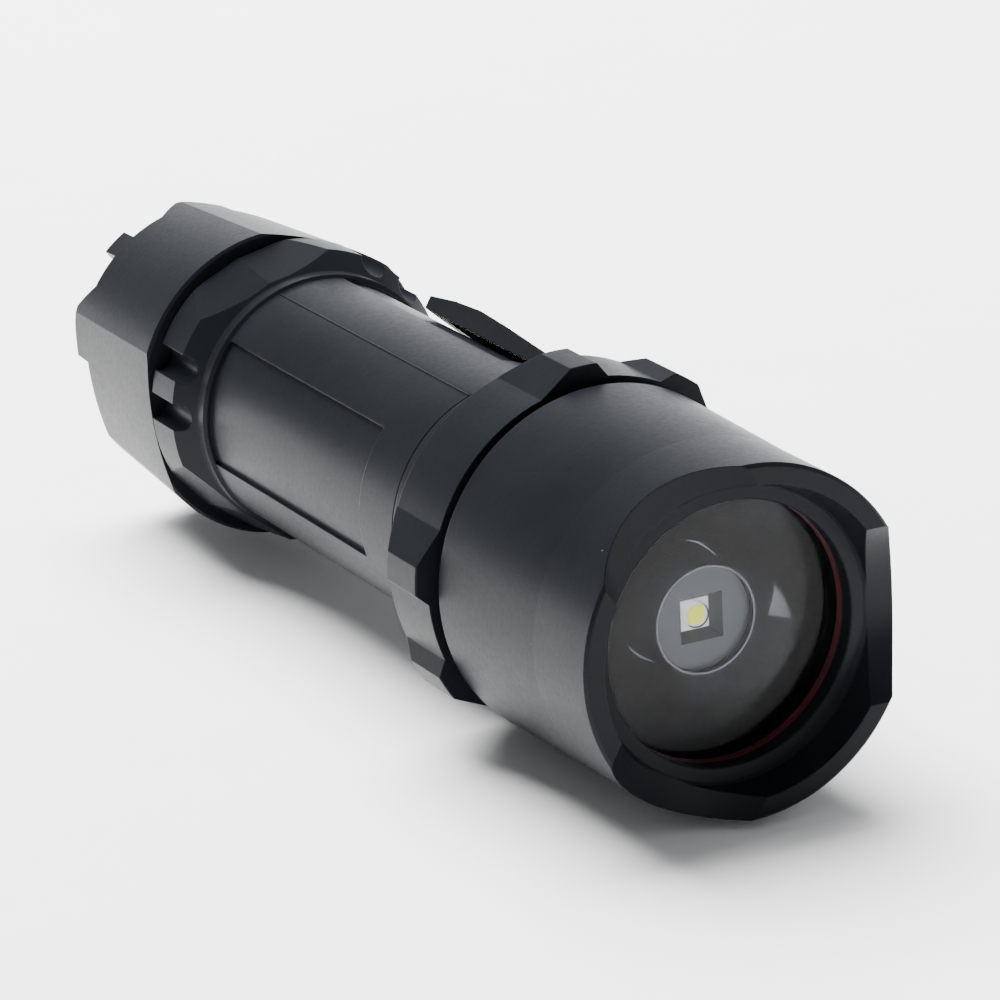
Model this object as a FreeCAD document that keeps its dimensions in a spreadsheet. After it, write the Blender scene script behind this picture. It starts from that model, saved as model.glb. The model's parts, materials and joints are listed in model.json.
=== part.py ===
import FreeCAD, Part
import math
import os
import Sketcher

# Tactical flashlight, millimetres.
# The light lies along Y: the beam leaves towards -Y, the tail is at +Y, +Z is up.
# Every outline is drawn with a radius from the light's axis and a station,
# which is the distance behind the front face.  Each finished piece is then
# moved by origin_station, so that the frame's origin lies on the axis inside
# the straight band of the head.
# Angles round the axis start at +X and run towards +Z.

V = FreeCAD.Vector

DIMENSIONS = [
    ("origin_station", 8.0, "station of the frame's origin"),
    # head shell
    ("head_radius", 20.0, "straight band of the head"),
    ("head_edge", 0.35, "small chamfer on the front rim"),
    ("band_end", 11.5, "rear end of the straight band"),
    ("head_rear_radius", 20.5, "head at its widest"),
    ("head_rear_station", 32.4, "head at its widest"),
    ("head_tail_radius", 19.7, "rear face of the head, outside"),
    ("head_end", 33.6, "rear face of the head"),
    ("hood_mouth", 17.65, "hood bore at the front face"),
    ("hood_foot", 16.8, "hood bore at the lens lip"),
    ("lip_front", 4.1, "front face of the lens lip"),
    ("lip_radius", 14.9, "opening of the lens lip"),
    ("lip_back", 6.0, "rear face of the lens lip"),
    ("lens_bore", 16.3, "bore for lens and reflector"),
    ("head_shoulder", 17.8, "shoulder between the two head bores"),
    ("thread_bore", 17.0, "female thread of the head, drawn as a plain bore"),
    ("scallop_radius", 14.5, "curve of a rim scallop"),
    ("scallop_depth", 4.0, "depth of a rim scallop"),
    # optics
    ("gasket_inner", 14.86, "lens gasket"),
    ("gasket_outer", 16.2, "lens gasket"),
    ("gasket_front", 6.02, "lens gasket"),
    ("gasket_back", 7.08, "lens gasket"),
    ("lens_radius", 16.2, "lens"),
    ("lens_front", 7.12, "lens"),
    ("lens_back", 8.9, "lens"),
    ("lens_edge", 0.25, "ground edge of the lens"),
    ("bowl_front", 8.95, "front face of the reflector"),
    ("bowl_flange", 10.1, "rear face of the reflector flange"),
    ("bowl_mouth", 14.5739494, "where the paraboloid meets the front face"),
    ("bowl_foot", 7.25, "where the paraboloid ends"),
    ("bowl_foot_station", 15.6098958, "where the paraboloid ends"),
    ("bowl_vertex", 17.8, "vertex of the paraboloid"),
    ("bowl_focus", 6.0, "focal length of the paraboloid"),
    ("moat_floor", 16.9, "floor of the channel round the central collar"),
    ("moat_outer", 7.0, "outer foot of the channel"),
    ("chimney_foot", 6.83, "central collar of the reflector, foot"),
    ("chimney_rim", 6.15, "central collar of the reflector, rim"),
    ("chimney_front", 9.56, "front of the central collar"),
    ("chimney_bore", 5.9, "bore of the central collar"),
    ("bowl_base", 17.75, "rear face of the reflector"),
    ("bowl_base_radius", 9.0, "rear face of the reflector"),
    ("bowl_back_radius", 9.4, "back of the bowl, small end"),
    ("bowl_back_station", 16.2, "back of the bowl, small end"),
    ("bowl_root", 15.3, "back of the bowl at the flange"),
    # light source
    ("ring_radius", 5.85, "centring ring"),
    ("ring_front", 10.5, "centring ring"),
    ("ring_back", 12.78, "centring ring"),
    ("well_mouth", 5.2, "square well of the centring ring, width at the front"),
    ("well_foot", 3.6, "square well of the centring ring, width at the LED"),
    ("well_depth", 1.5, "depth of the sloped part of the well"),
    ("led_width", 3.45, "LED package"),
    ("led_front", 12.02, "front of the LED package"),
    ("led_back", 12.78, "back of the LED package"),
    ("die_width", 2.2, "phosphor-coated die"),
    ("die_corner", 0.45, "clipped corner of the die"),
    ("die_front", 11.92, "front of the die"),
    ("dome_radius", 1.55, "silicone dome"),
    ("board_radius", 5.85, "LED board"),
    ("board_front", 12.8, "LED board"),
    ("board_back", 14.38, "LED board"),
    ("post_radius", 5.85, "post of the heat sink"),
    ("post_front", 14.4, "post of the heat sink"),
    ("sink_flange", 16.7, "flange of the heat sink"),
    ("sink_flange_front", 17.82, "flange of the heat sink"),
    ("sink_flange_back", 20.9, "flange of the heat sink"),
    ("sink_cup", 14.0, "cup of the heat sink, outside"),
    ("sink_bore", 12.0, "cup of the heat sink, inside"),
    ("sink_floor", 22.4, "floor of the cup"),
    ("sink_seat", 34.7, "seat of the driver board"),
    ("sink_seat_radius", 13.0, "counterbore of the cup"),
    ("sink_end", 37.75, "rear end of the cup"),
    ("wire_radius", 0.55, "insulated lead"),
    ("wire_hole", 0.8, "hole for a lead"),
    ("wire_offset", 4.0, "lead from the axis"),
    # driver
    ("driver_radius", 12.9, "driver board"),
    ("driver_front", 34.75, "driver board"),
    ("driver_back", 36.35, "driver board"),
    ("clamp_outer", 12.9, "driver retaining ring"),
    ("clamp_inner", 9.6, "driver retaining ring"),
    ("clamp_front", 36.4, "driver retaining ring"),
    ("clamp_back", 37.75, "driver retaining ring"),
    ("coil_radius", 3.2, "inductor"),
    ("coil_height", 3.4, "inductor"),
    ("coil_offset", 6.4, "inductor from the axis"),
    ("chip_long", 5.0, "control chip"),
    ("chip_wide", 4.0, "control chip"),
    ("chip_tall", 1.2, "control chip"),
    ("chip_offset", 6.2, "control chip from the axis"),
    ("cap_size", 1.8, "ceramic capacitor"),
    ("cap_offset", 8.0, "ceramic capacitors from the axis"),
    # barrel
    ("nose_bore", 14.2, "front bore of the barrel"),
    ("nose_front", 20.95, "front face of the barrel"),
    ("nose_radius", 16.95, "front male thread, crest"),
    ("thread_chamfer", 0.6, "lead-in chamfer of a male thread"),
    ("nose_groove_front", 30.9, "front O-ring groove"),
    ("nose_groove_back", 32.9, "front O-ring groove"),
    ("nose_groove_floor", 15.5, "front O-ring groove"),
    ("nose_bore_end", 38.4, "end of the front bore"),
    ("tube_bore", 11.8, "main bore of the barrel"),
    ("collar_front", 34.3, "front anti-roll collar"),
    ("collar_lobe", 22.4, "lobes of the front collar"),
    ("collar_edge", 0.12, "chamfer of the front collar"),
    ("collar_crest_end", 41.2, "where the lobes start to fall"),
    ("collar_back_radius", 20.3, "rear edge of the front collar"),
    ("collar_back", 44.6, "rear face of the front collar"),
    ("collar_angle", 73.4, "middle of a pair of lobes"),
    ("notch_floor", 20.85, "notch between two lobes"),
    ("notch_half", 9.5, "notch, half angle at its floor"),
    ("notch_top", 23.2, "beyond the lobes"),
    ("notch_top_half", 15.1, "notch, half angle beyond the lobes"),
    ("low_radius", 20.25, "low arcs of the front collar"),
    ("low_half", 26.7, "low arcs, half angle"),
    ("ramp_top", 23.15, "beyond the lobes, on the line of the ramp"),
    ("ramp_half", 41.1, "ramp from the middle of the low arc, beyond the lobes"),
    ("neck_radius", 15.0, "groove for the clip band"),
    ("neck_end", 53.1, "rear end of the groove"),
    ("neck_step", 0.1, "chamfer behind the groove"),
    ("grip_radius", 15.8, "grip"),
    ("grip_end", 103.0, "rear end of the grip"),
    ("bead_radius", 16.2, "bead behind the grip"),
    ("bead_front", 103.3, "bead behind the grip"),
    ("bead_back", 105.0, "bead behind the grip"),
    ("rear_collar", 18.4, "rear collar"),
    ("rear_collar_front", 107.4, "rear collar"),
    ("rear_collar_edge", 0.3, "chamfer of the rear collar"),
    ("rear_collar_back", 113.7, "rear collar"),
    ("tail_radius", 15.5, "rear male thread, crest"),
    ("tail_groove_front", 114.6, "rear O-ring groove"),
    ("tail_groove_back", 116.6, "rear O-ring groove"),
    ("tail_groove_floor", 14.1, "rear O-ring groove"),
    ("barrel_end", 124.4, "rear face of the barrel"),
    ("panel_angle", 48.4, "middle of the first grip panel"),
    ("panel_floor", 15.3, "grip panels"),
    ("panel_half", 29.0, "grip panels, half angle"),
    ("panel_front", 61.6, "grip panels"),
    ("panel_length", 41.4, "grip panels"),
    ("panel_clear", 17.0, "beyond the grip"),
    ("flat_angle", 108.4, "ridge between the first pair of flats of the rear collar"),
    ("flat_lean", 6.2, "a flat from its ridge, angle"),
    ("flat_front_apothem", 16.45, "flat of the rear collar at the bead"),
    ("flat_back_apothem", 17.8, "flat of the rear collar at its rear face"),
    ("flat_reach", 14.0, "flat of the rear collar, half width of the cut"),
    ("flat_clear", 24.0, "beyond the rear collar"),
    ("slot_centre", 18.0, "centre line of a slot from the axis"),
    ("slot_radius", 1.7, "round floor of a slot"),
    ("slot_front", 106.6, "centre of the round front end of a slot"),
    ("slot_length", 7.6, "slot, beyond the rear face of the collar"),
    ("slot_low", 38.8, "first slot of a pair"),
    ("slot_high", 58.0, "second slot of a pair"),
    ("seam_angle", 109.0, "mould seam"),
    ("seam_foot", 15.5, "mould seam, inside the wall"),
    ("seam_crest", 15.89, "mould seam on the rib"),
    ("seam_half", 0.28, "mould seam, half angle"),
    ("seam_front", 53.3, "mould seam"),
    ("seam_length", 49.6, "mould seam"),
    # threads
    ("thread_pitch", 1.5, "both threads"),
    ("thread_depth", 0.85, "both threads"),
    ("thread_crest_gap", 0.62, "half width of the groove at the crest"),
    ("thread_root_gap", 0.12, "half width of the groove at the root"),
    ("nose_thread_start", 20.2, "front thread"),
    ("nose_thread_length", 9.0, "front thread"),
    ("tail_thread_start", 117.9, "rear thread"),
    ("tail_thread_length", 7.0, "rear thread"),
    # seals
    ("seal_radius", 0.73, "section of both O-rings"),
    ("nose_seal_radius", 16.25, "front O-ring, centre of its section"),
    ("nose_seal_station", 31.9, "front O-ring"),
    ("tail_seal_radius", 14.85, "rear O-ring, centre of its section"),
    ("tail_seal_station", 115.6, "rear O-ring"),
    # liner and cell
    ("liner_outer", 11.75, "liner tube"),
    ("liner_inner", 10.95, "liner tube"),
    ("liner_front", 37.8, "liner tube"),
    ("liner_back", 125.3, "liner tube"),
    ("can_radius", 10.55, "cell can"),
    ("can_front", 47.1, "cell can"),
    ("can_back", 116.4, "cell can"),
    ("can_edge", 0.6, "rounded edge of the can"),
    ("wrap_outer", 10.7, "printed sleeve of the cell"),
    ("wrap_inner", 10.57, "printed sleeve of the cell"),
    ("wrap_front", 46.75, "printed sleeve of the cell"),
    ("wrap_back", 116.2, "printed sleeve of the cell"),
    ("terminal_radius", 4.6, "positive terminal"),
    ("terminal_skirt", 7.2, "positive terminal"),
    ("terminal_step", 46.85, "positive terminal"),
    ("terminal_front", 46.3, "positive terminal"),
    # springs
    ("wire_section", 0.45, "spring wire radius"),
    ("spring_pitch", 1.6, "both springs"),
    ("front_spring_radius", 4.6, "front spring, at its board"),
    ("front_spring_length", 8.9, "front spring between wire centres"),
    ("rear_spring_radius", 5.4, "rear spring, at its board"),
    ("rear_spring_length", 9.6, "rear spring between wire centres"),
    ("spring_taper", -8.0, "both springs narrow towards the cell, degrees"),
    # tail cap
    ("cap_front", 114.1, "front face of the tail cap"),
    ("cap_front_radius", 19.45, "tail cap at its front"),
    ("cap_edge", 0.35, "chamfers of the tail cap"),
    ("cap_back_radius", 17.7, "tail cap at the tips of the crown"),
    ("cap_back", 140.2, "tips of the crown"),
    ("crown_inner", 14.5, "inside of the crown"),
    ("rim_level", 136.6, "floor of the crown"),
    ("button_hole", 8.5, "hole for the button"),
    ("cap_wall", 133.9, "inner face of the rear wall"),
    ("button_well", 11.0, "well behind the switch board"),
    ("switch_seat", 128.65, "shoulder for the switch board"),
    ("switch_bore", 13.0, "bore for the switch ring"),
    ("cap_thread_end", 125.4, "end of the female thread"),
    ("cap_bore", 15.6, "female thread of the tail cap, drawn as a plain bore"),
    ("face_angle", 67.5, "middle of the first flattened face"),
    ("face_radius", 41.3, "curve of a flattened face at the front"),
    ("face_back_radius", 39.7, "curve of a flattened face at the tips"),
    ("face_offset", 23.1, "centre of that curve from the axis"),
    ("crown_clear", 21.0, "beyond the crown"),
    ("crown_core", 13.0, "inside the crown"),
    ("crown_over", 4.0, "height of the cuts above the floor"),
    ("opening_low", 180.0, "thumb opening, first wall"),
    ("opening_middle", 217.5, "thumb opening, middle"),
    ("opening_high", 255.0, "thumb opening, second wall"),
    ("tooth_angle", 127.5, "small tooth"),
    ("tooth_half", 1.7, "small tooth, half width"),
    ("wing_foot", 6.08, "foot of a wing's slope from the middle of the tooth"),
    ("wing_over", 9.74, "the slope carried on above the tips"),
    ("tips_over", 140.6, "above the tips"),
    # switch and button
    ("switch_ring_outer", 12.9, "switch retaining ring"),
    ("switch_ring_inner", 9.5, "switch retaining ring"),
    ("switch_ring_front", 125.35, "switch retaining ring"),
    ("switch_ring_back", 126.95, "switch retaining ring"),
    ("switch_board_radius", 12.7, "switch board"),
    ("switch_board_front", 127.0, "switch board"),
    ("switch_board_back", 128.6, "switch board"),
    ("switch_radius", 8.0, "switch housing"),
    ("switch_front", 128.65, "switch housing"),
    ("switch_back", 130.8, "switch housing"),
    ("switch_hole", 3.6, "guide bore of the switch housing"),
    ("switch_floor", 129.1, "guide bore of the switch housing"),
    ("stem_radius", 3.5, "button stem"),
    ("stem_front", 130.7, "button stem"),
    ("stem_head", 6.7, "head of the button stem"),
    ("stem_head_front", 133.0, "head of the button stem"),
    ("stem_back", 137.1, "head of the button stem"),
    ("button_flange", 9.6, "flange of the rubber button"),
    ("button_flange_front", 132.6, "flange of the rubber button"),
    ("button_flange_back", 133.85, "flange of the rubber button"),
    ("button_radius", 8.3, "rubber button"),
    ("button_inner", 6.9, "inside of the rubber button"),
    ("button_roof", 137.2, "inside of the rubber button"),
    ("button_shoulder", 137.4, "edge of the dome"),
    ("button_dome_edge", 7.9, "edge of the dome"),
    ("button_dome_station", 137.9, "edge of the dome"),
    ("button_top", 139.4, "top of the dome"),
    ("button_dome_curve", 21.5533333, "curve of the dome"),
    # clip
    ("clip_inner", 15.05, "clip band"),
    ("clip_outer", 15.8, "clip band"),
    ("clip_front", 44.7, "clip band"),
    ("clip_back", 53.0, "clip band"),
    ("clip_angle", 48.4, "middle of the clip"),
    ("gap_low", 177.4, "one end of the clip band"),
    ("gap_middle", 228.4, "middle of the band's gap"),
    ("gap_high", 279.4, "other end of the clip band"),
    ("gap_clear", 30.0, "beyond the clip band"),
    ("gap_core", 14.0, "inside the clip band"),
    ("clip_width", 9.0, "clip arm"),
    ("clip_half", 4.5, "clip arm, half width"),
    ("root_seat", 15.1, "root of the clip, inside the band"),
    ("root_height", 2.1, "root of the clip above its seat"),
    ("arm_front", 53.06, "clip arm starts"),
    ("arm_outer", 17.2, "clip arm, outer face at the root"),
    ("arm_knee", 58.5, "clip arm, lowest run"),
    ("arm_knee_outer", 17.25, "clip arm, lowest run"),
    ("arm_middle", 70.2, "clip arm, middle"),
    ("arm_middle_outer", 18.0, "clip arm, middle"),
    ("arm_high", 76.9, "clip arm, furthest from the grip"),
    ("arm_high_outer", 18.3, "clip arm, furthest from the grip"),
    ("arm_crown", 83.0, "clip arm, start of the tip"),
    ("arm_crown_outer", 17.95, "clip arm, start of the tip"),
    ("arm_tip", 88.6, "clip arm, tip"),
    ("arm_tip_outer", 17.2, "clip arm, tip"),
    ("arm_tip_slope", 0.5, "clip arm, slope of the end face"),
    ("arm_wall", 0.9, "clip arm, thickness of the sheet"),
    ("skirt_front", 55.2, "side skirts of the clip arm"),
    ("skirt_foot", 15.6, "side skirts of the clip arm, distance of the lower edge from the axis"),
    ("channel_width", 7.2, "clip arm between its skirts"),
    ("channel_end", 84.6, "solid tip starts"),
    ("channel_below", 14.5, "below the skirts"),
]

VALUE = {name: value for name, value, note in DIMENSIONS}


def open_sheet(doc):
    """The sheet that drives every sub-part."""
    sheet = doc.addObject("Spreadsheet::Sheet", "dims")
    for row, (name, value, note) in enumerate(DIMENSIONS, 1):
        sheet.set("A%d" % row, name)
        sheet.set("B%d" % row, repr(value))
        sheet.set("C%d" % row, note)
        sheet.setAlias("B%d" % row, name)
    return sheet


def worth(text):
    """Value of a sum of sheet names and plain numbers, such as 'head_radius - head_edge'."""
    total = 0.0
    sign = 1.0
    for word in text.split():
        if word in "+-":
            sign = -1.0 if word == "-" else 1.0
        else:
            total += sign * (VALUE[word] if word in VALUE else float(word))
    return total


def linked(text):
    """The same sum, written for the sheet."""
    return "(" + " ".join("dims." + word if word in VALUE else word for word in text.split()) + ")"


def flat_corner(x, y):
    """A corner given by two lengths."""
    return (worth(x), worth(y)), (linked(x), linked(y))


def polar_corner(radius, angle):
    """A corner given by a radius and an angle."""
    turn = math.radians(worth(angle))
    spot = (worth(radius) * math.cos(turn), worth(radius) * math.sin(turn))
    return spot, (linked(radius) + " * cos" + linked(angle), linked(radius) + " * sin" + linked(angle))


def origin_plane(body, role):
    """A plane or an axis of a body's own origin."""
    return [item for item in body.Origin.OriginFeatures if item.Role == role][0]


def new_sketch(body, role, name):
    sketch = body.newObject("Sketcher::SketchObject", name)
    sketch.AttachmentSupport = [(origin_plane(body, role), "")]
    sketch.MapMode = "FlatFace"
    return sketch


def pin_point(sketch, geometry, position, corner):
    """Hold one point of the sketch at a corner whose two distances come from the sheet."""
    spot, text = corner
    for kind, axis, value, cell in (("DistanceX", -2, spot[0], text[0]), ("DistanceY", -1, spot[1], text[1])):
        if abs(value) < 1e-9:
            sketch.addConstraint(Sketcher.Constraint("PointOnObject", geometry, position, axis))
        else:
            index = sketch.addConstraint(Sketcher.Constraint(kind, -1, 1, geometry, position, value))
            sketch.setExpression("Constraints[%d]" % index, cell)


def arc_geometry(start, end, radius, side):
    """Arc between two points.  Its centre is left of the way there when side is 1."""
    chord = end - start
    height = math.sqrt(max(radius * radius - chord.Length * chord.Length / 4.0, 0.0))
    left = V(-chord.y, chord.x, 0).normalize()
    centre = (start + end) * 0.5 + left * height * side
    first, second = (start, end) if side > 0 else (end, start)
    low = math.atan2(first.y - centre.y, first.x - centre.x)
    high = math.atan2(second.y - centre.y, second.x - centre.x)
    if high < low:
        high += 2.0 * math.pi
    return Part.ArcOfCircle(Part.Circle(centre, V(0, 0, 1), radius), low, high)


def draw(sketch, corners, arcs=None, parabola=None):
    """Closed outline through the corners.  arcs gives {edge number: (radius, side)}."""
    arcs = arcs or {}
    count = len(corners)
    edges = []
    for number in range(count):
        start = V(*corners[number][0], 0)
        end = V(*corners[(number + 1) % count][0], 0)
        if number in arcs:
            radius, side = arcs[number]
            piece = arc_geometry(start, end, worth(radius), side)
            edges.append((sketch.addGeometry(piece, False),) + ((1, 2) if side > 0 else (2, 1)))
        elif parabola and parabola[0] == number:
            vertex = worth(parabola[1])
            curve = Part.Parabola(V(0, vertex - worth(parabola[2]), 0), V(0, vertex, 0), V(0, 0, 1))
            low, high = sorted((curve.parameter(start), curve.parameter(end)))
            forward = abs(curve.parameter(start) - low) < 1e-6
            piece = Part.ArcOfParabola(curve, low, high).toBSpline()
            edges.append((sketch.addGeometry(piece, False),) + ((1, 2) if forward else (2, 1)))
        else:
            edges.append((sketch.addGeometry(Part.LineSegment(start, end), False), 1, 2))
    for number in range(count):
        before = edges[number - 1]
        here = edges[number]
        sketch.addConstraint(Sketcher.Constraint("Coincident", before[0], before[2], here[0], here[1]))
        pin_point(sketch, here[0], here[1], corners[number])
    for number, (radius, side) in arcs.items():
        index = sketch.addConstraint(Sketcher.Constraint("Radius", edges[number][0], worth(radius)))
        sketch.setExpression("Constraints[%d]" % index, linked(radius))


def turned(doc, name, outline, arcs=None, parabola=None):
    """Body turned about the light's axis from an outline of (radius, station) corners."""
    body = doc.addObject("PartDesign::Body", name)
    sketch = new_sketch(body, "XY_Plane", name + "_outline")
    draw(sketch, [flat_corner(*corner) for corner in outline], arcs, parabola)
    turn = body.newObject("PartDesign::Revolution", name + "_turned")
    turn.Profile = (sketch, [""])
    turn.ReferenceAxis = (sketch, ["V_Axis"])
    turn.Angle = 360.0
    doc.recompute()
    if turn.Shape.Volume < 0 or not turn.Shape.isValid():
        raise RuntimeError(name + " did not turn")
    return body


def station_sketch(body, name, station, corners, arcs=None):
    """Sketch across the axis at a station, with (radius, angle) corners."""
    sketch = new_sketch(body, "XZ_Plane", name)
    sketch.AttachmentOffset = FreeCAD.Placement(V(0, 0, -worth(station)), FreeCAD.Rotation())
    sketch.setExpression("AttachmentOffset.Base.z", "-" + linked(station))
    draw(sketch, [polar_corner(*corner) for corner in corners], arcs)
    return sketch


def radial_sketch(body, name, angle, height, corners, arcs=None):
    """Sketch that faces outwards at an angle, with (station, sideways) corners."""
    sketch = new_sketch(body, "YZ_Plane", name)
    turn = math.radians(worth(angle))
    reach = worth(height)
    shift = V(0, reach * math.sin(turn), reach * math.cos(turn))
    sketch.AttachmentOffset = FreeCAD.Placement(shift, FreeCAD.Rotation(V(1, 0, 0), -worth(angle)))
    sketch.setExpression("AttachmentOffset.Base.y", linked(height) + " * sin" + linked(angle))
    sketch.setExpression("AttachmentOffset.Base.z", linked(height) + " * cos" + linked(angle))
    if corners:
        draw(sketch, [flat_corner(*corner) for corner in corners], arcs)
    return sketch


def cut_away(doc, body, name, sketch, length, outwards=False):
    """Pocket along +Y from a station sketch, or outwards from a radial one."""
    before = body.Shape.Volume
    pocket = body.newObject("PartDesign::Pocket", name)
    pocket.Profile = (sketch, [""])
    pocket.Length = worth(length)
    pocket.setExpression("Length", linked(length))
    pocket.Reversed = outwards
    doc.recompute()
    if not pocket.Shape.Volume < before - 1e-6:
        raise RuntimeError(name + " removed nothing")
    return pocket


def build_up(doc, body, name, sketch, length, reversed_way=False):
    """Pad along the sketch's own normal, or against it."""
    before = body.Shape.Volume
    pad = body.newObject("PartDesign::Pad", name)
    pad.Profile = (sketch, [""])
    pad.Length = worth(length)
    pad.setExpression("Length", linked(length))
    pad.Reversed = reversed_way
    doc.recompute()
    if not pad.Shape.Volume > before + 1e-6:
        raise RuntimeError(name + " added nothing")
    return pad


def repeat(doc, body, name, features, count):
    """The same features again, evenly spaced round the light's axis."""
    before = body.Shape.Volume
    pattern = body.newObject("PartDesign::PolarPattern", name)
    pattern.Originals = features
    pattern.Axis = (origin_plane(body, "Y_Axis"), [""])
    pattern.Angle = 360.0
    pattern.Occurrences = count
    body.Tip = pattern
    doc.recompute()
    if abs(pattern.Shape.Volume - before) < 1e-6:
        raise RuntimeError(name + " changed nothing")
    return pattern


def settle(item, name, rotation=None):
    """Give a finished piece its name and move it to the frame's origin."""
    item.Label = name
    item.Placement = FreeCAD.Placement(V(0, -worth("origin_station"), 0), rotation or FreeCAD.Rotation())
    item.setExpression("Placement.Base.y", "-" + linked("origin_station"))
    return item


def bind(item, **cells):
    """Tie properties of a primitive to the sheet."""
    for key, text in cells.items():
        setattr(item, key, worth(text))
        item.setExpression(key, linked(text))


def along_axis(item, x, station, z, towards_tail=True):
    """Stand a primitive that was drawn along Z on the light's axis at a station."""
    turn = FreeCAD.Rotation(V(1, 0, 0), -90 if towards_tail else 90)
    item.Placement = FreeCAD.Placement(V(worth(x), worth(station), worth(z)), turn)
    item.setExpression("Placement.Base.x", linked(x))
    item.setExpression("Placement.Base.y", linked(station))
    item.setExpression("Placement.Base.z", linked(z))


def rod(doc, name, radius, length, x, station, z):
    """Round bar along the axis direction, starting at a station."""
    item = doc.addObject("Part::Cylinder", name)
    bind(item, Radius=radius, Height=length)
    along_axis(item, x, station, z)
    return item


def block(doc, name, width, length, height, x, station, z):
    """Rectangular block whose middle in X and Z is given, starting at a station."""
    item = doc.addObject("Part::Box", name)
    bind(item, Length=width, Width=length, Height=height)
    corner = (worth(x) - worth(width) / 2.0, worth(station), worth(z) - worth(height) / 2.0)
    item.Placement = FreeCAD.Placement(V(*corner), FreeCAD.Rotation())
    item.setExpression("Placement.Base.x", linked(x) + " - " + linked(width) + " / 2")
    item.setExpression("Placement.Base.y", linked(station))
    item.setExpression("Placement.Base.z", linked(z) + " - " + linked(height) + " / 2")
    return item


def group(doc, name, pieces):
    """Several separate solids under one name."""
    item = doc.addObject("Part::Compound", name)
    item.Links = pieces
    return item


def seal(doc, name, radius, station):
    """O-ring round the light's axis."""
    ring = doc.addObject("Part::Torus", name + "_ring")
    bind(ring, Radius1=radius, Radius2="seal_radius")
    along_axis(ring, "0", station, "0")
    return settle(group(doc, name, [ring]), name)


def thread_cutter(doc, name, crest, station, length):
    """Helical groove with sloped flanks, right-handed about the light's axis."""
    helix = doc.addObject("Part::Helix", name + "_helix")
    bind(helix, Pitch="thread_pitch", Height=length, Radius=crest)
    sketch = doc.addObject("Sketcher::SketchObject", name + "_profile")
    root = crest + " - thread_depth"
    top = crest + " + 0.1"
    corners = [(root, "0 - thread_root_gap"), (root, "thread_root_gap"),
               (top, "thread_crest_gap"), (top, "0 - thread_crest_gap")]
    draw(sketch, [flat_corner(*corner) for corner in corners])
    sketch.Placement = FreeCAD.Placement(V(0, 0, 0), FreeCAD.Rotation(V(1, 0, 0), 90))
    sweep = doc.addObject("Part::Sweep", name)
    sweep.Sections = [sketch]
    sweep.Spine = (helix, [])
    sweep.Solid = True
    sweep.Frenet = True
    along_axis(sweep, "0", station, "0")
    return sweep


def spring(doc, name, radius, length, station, towards_tail):
    """Coil spring that narrows away from its board."""
    helix = doc.addObject("Part::Helix", name + "_helix")
    bind(helix, Pitch="spring_pitch", Height=length, Radius=radius)
    helix.Angle = worth("spring_taper")
    helix.setExpression("Angle", linked("spring_taper"))
    section = doc.addObject("Part::Circle", name + "_section")
    section.Radius = worth("wire_section")
    section.setExpression("Radius", linked("wire_section"))
    section.Placement = FreeCAD.Placement(V(worth(radius), 0, 0), FreeCAD.Rotation(V(1, 0, 0), 90))
    section.setExpression("Placement.Base.x", linked(radius))
    sweep = doc.addObject("Part::Sweep", name + "_coil")
    sweep.Sections = [section]
    sweep.Spine = (helix, [])
    sweep.Solid = True
    sweep.Frenet = True
    along_axis(sweep, "0", station, "0", towards_tail)
    return settle(group(doc, name, [sweep]), name)


def head_shell(doc):
    """One-piece head: hooded rim, lens lip, stepped bore; three scallops in the rim."""
    body = turned(doc, "head_shell", [
        ("hood_mouth", "0"), ("head_radius - head_edge", "0"), ("head_radius", "head_edge"),
        ("head_radius", "band_end"), ("head_rear_radius", "head_rear_station"),
        ("head_tail_radius", "head_end"), ("thread_bore + 0.4", "head_end"),
        ("thread_bore", "head_end - 0.4"), ("thread_bore", "head_shoulder"),
        ("lens_bore", "head_shoulder"), ("lens_bore", "lip_back"),
        ("lip_radius", "lip_back"), ("lip_radius", "lip_front + 0.15"),
        ("lip_radius + 0.15", "lip_front"), ("hood_foot - 0.35", "lip_front"),
        ("hood_foot", "lip_front - 0.35")])
    sketch = radial_sketch(body, "scallop_sketch", "0", "0", [])
    centre = worth("scallop_depth - scallop_radius")
    circle = Part.Circle(V(centre, 0, 0), V(0, 0, 1), worth("scallop_radius"))
    index = sketch.addGeometry(circle, False)
    pin_point(sketch, index, 3, flat_corner("scallop_depth - scallop_radius", "0"))
    rule = sketch.addConstraint(Sketcher.Constraint("Radius", index, worth("scallop_radius")))
    sketch.setExpression("Constraints[%d]" % rule, linked("scallop_radius"))
    pocket = cut_away(doc, body, "scallop", sketch, "head_radius + 2", outwards=True)
    repeat(doc, body, "scallops", [pocket], 3)
    return settle(body, "head_shell")


def lens_gasket(doc):
    """Rubber ring between the lip and the lens."""
    body = turned(doc, "lens_gasket", [
        ("gasket_inner", "gasket_front"), ("gasket_outer", "gasket_front"),
        ("gasket_outer", "gasket_back"), ("gasket_inner", "gasket_back")])
    return settle(body, "lens_gasket")


def lens(doc):
    """Flat glass disc with ground edges."""
    body = turned(doc, "lens", [
        ("0", "lens_front"), ("lens_radius - lens_edge", "lens_front"),
        ("lens_radius", "lens_front + lens_edge"), ("lens_radius", "lens_back - lens_edge"),
        ("lens_radius - lens_edge", "lens_back"), ("0", "lens_back")])
    return settle(body, "lens")


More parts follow.
